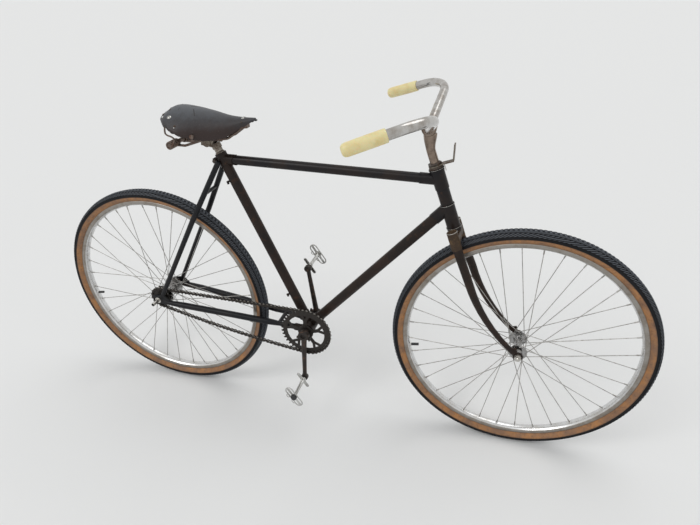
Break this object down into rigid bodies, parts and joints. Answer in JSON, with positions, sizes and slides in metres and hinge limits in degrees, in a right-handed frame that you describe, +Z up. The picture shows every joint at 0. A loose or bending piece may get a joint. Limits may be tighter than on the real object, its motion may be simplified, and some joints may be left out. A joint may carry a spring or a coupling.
{
  "type": "vintage bicycle",
  "caption": "Old roadster bicycle with a lugged diamond frame, swept-back bars, sprung saddle, single chain drive and wire wheels; it steers, rolls and pedals.",
  "frame": {"origin": "the middle of the saddle's top, where the rider sits (mount rider)", "axes": "+X forward, +Y to the rider's left, +Z up, with both wheels upright on one level"},
  "size_m": [1.8129, 0.6057, 1.0197],
  "materials": {
    "frame_paint": "old black enamel, worn and browned with rust",
    "rusty_steel": "rusted bare steel",
    "dark_steel": "dark oily steel",
    "bright_steel": "dull plated steel",
    "spoke_steel": "tarnished steel wire",
    "worn_chrome": "pitted chrome",
    "chrome": "chrome, lightly worn",
    "rim_chrome": "dull chrome",
    "pedal_alloy": "bright pressed alloy",
    "grip_plastic": "yellowed cream plastic",
    "saddle_leather": "worn black leather",
    "tyre": "black tread with tan side walls",
    "black_rubber": "black rubber"
  },
  "bodies": {
    "frame": {"head_tube": "frame_paint", "bottom_bracket_shell": "frame_paint", "chainstay_left": "frame_paint", "chainstay_right": "frame_paint", "seat_tube": "frame_paint", "top_tube": "frame_paint", "down_tube": "frame_paint", "seat_bolt": "rusty_steel", "rear_fork_ends": "frame_paint", "seat_stay_left": "frame_paint", "seat_stay_right": "frame_paint", "stay_bridges": "frame_paint", "seat_post": "rusty_steel", "saddle_frame": "rusty_steel", "saddle_clamp": "rusty_steel", "saddle_springs": "rusty_steel", "saddle_cover": "saddle_leather", "rear_axle": "bright_steel", "axle_sleeve": "bright_steel", "brake_arm": "bright_steel", "chain": "dark_steel"},
    "fork": {"fork_crown": "frame_paint", "fork_blades": "frame_paint", "front_axle": "bright_steel", "headset_nut": "rusty_steel", "lamp_bracket": "rusty_steel", "stem": "worn_chrome", "handlebar": "chrome", "handlebar_grips": "grip_plastic"},
    "front_wheel": {"front_tyre": "tyre", "front_rim": "rim_chrome", "front_hub": "bright_steel", "front_spokes": "spoke_steel", "front_valve": "black_rubber"},
    "rear_wheel": {"rear_tyre": "tyre", "rear_rim": "rim_chrome", "rear_hub": "bright_steel", "rear_spokes": "spoke_steel", "rear_valve": "black_rubber"},
    "crankset": {"chainring": "dark_steel", "crank_axle": "dark_steel", "crank_right": "dark_steel", "crank_left": "dark_steel"},
    "sprocket": {"rear_sprocket": "dark_steel"},
    "pedal_right": {"pedal_cage_right": "pedal_alloy"},
    "pedal_left": {"pedal_cage_left": "pedal_alloy"}
  },
  "joints": [
    {"name": "steering", "type": "hinge", "parent": "frame", "child": "fork", "pos_m": [0.80748, 0, -0.62806], "axis": [-0.3404, 0, 0.9403], "range_deg": [-90, 90]},
    {"name": "front_wheel_spin", "type": "hinge", "parent": "fork", "child": "front_wheel", "pos_m": [0.87801, 0, -0.60253], "axis": [0, 1, 0], "continuous": true},
    {"name": "rear_wheel_spin", "type": "hinge", "parent": "frame", "child": "rear_wheel", "pos_m": [-0.229, 0, -0.60253], "axis": [0, 1, 0], "continuous": true},
    {"name": "crank_spin", "type": "hinge", "parent": "frame", "child": "crankset", "pos_m": [0.265, 0, -0.64753], "axis": [0, 1, 0], "continuous": true},
    {"name": "sprocket_spin", "type": "hinge", "parent": "frame", "child": "sprocket", "pos_m": [-0.229, 0, -0.60253], "axis": [0, 1, 0], "continuous": true},
    {"name": "pedal_right_spin", "type": "hinge", "parent": "crankset", "child": "pedal_right", "pos_m": [0.25781, 0, -0.81237], "axis": [0, 1, 0], "continuous": true},
    {"name": "pedal_left_spin", "type": "hinge", "parent": "crankset", "child": "pedal_left", "pos_m": [0.2449, 0, -0.48376], "axis": [0, 1, 0], "continuous": true}
  ],
  "couplings": [
    {"joint": "sprocket_spin", "follows": "crank_spin", "ratio": 2.375}
  ]
}
